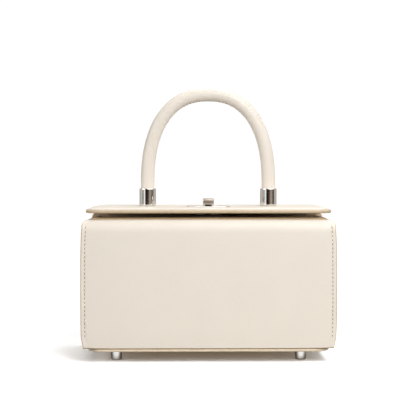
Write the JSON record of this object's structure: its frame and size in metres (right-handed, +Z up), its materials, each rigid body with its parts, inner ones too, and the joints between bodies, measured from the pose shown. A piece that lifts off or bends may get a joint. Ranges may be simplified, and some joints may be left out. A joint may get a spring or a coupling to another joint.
{
  "type": "box bag",
  "caption": "Stiff leather box bag with a bent shoulder, a flat overhanging lid held by a turn lock, an arched round handle in metal ferrules and small metal feet.",
  "frame": {"origin": "on the surface the bag stands on, under the middle of the bag", "axes": "+Z up, +X to the right seen from the front, -Y towards the front of the bag"},
  "size_m": [0.2156, 0.1012, 0.2346],
  "materials": {
    "cream_leather": "smooth satin cream leather with painted edges",
    "tan_leather": "plain tan leather",
    "polished_metal": "polished silver-coloured metal"
  },
  "bodies": {
    "bag": {"front_panel": "cream_leather", "back_panel": "cream_leather", "left_gusset": "cream_leather", "right_gusset": "cream_leather", "base_panel": "cream_leather", "lid": "cream_leather", "hinge_strip": "tan_leather", "handle": "cream_leather", "left_ferrule": "polished_metal", "right_ferrule": "polished_metal", "left_handle_nut": "polished_metal", "right_handle_nut": "polished_metal", "lock_plate": "polished_metal", "lock_base": "polished_metal", "foot_front_left": "polished_metal", "foot_front_right": "polished_metal", "foot_rear_left": "polished_metal", "foot_rear_right": "polished_metal"},
    "knob": {"turn_knob": "polished_metal"}
  },
  "joints": [
    {"name": "lock_turn", "type": "hinge", "parent": "bag", "child": "knob", "pos_m": [0, -0.015, 0.1353], "axis": [0, 0, 1], "range_deg": [0, 90]}
  ]
}
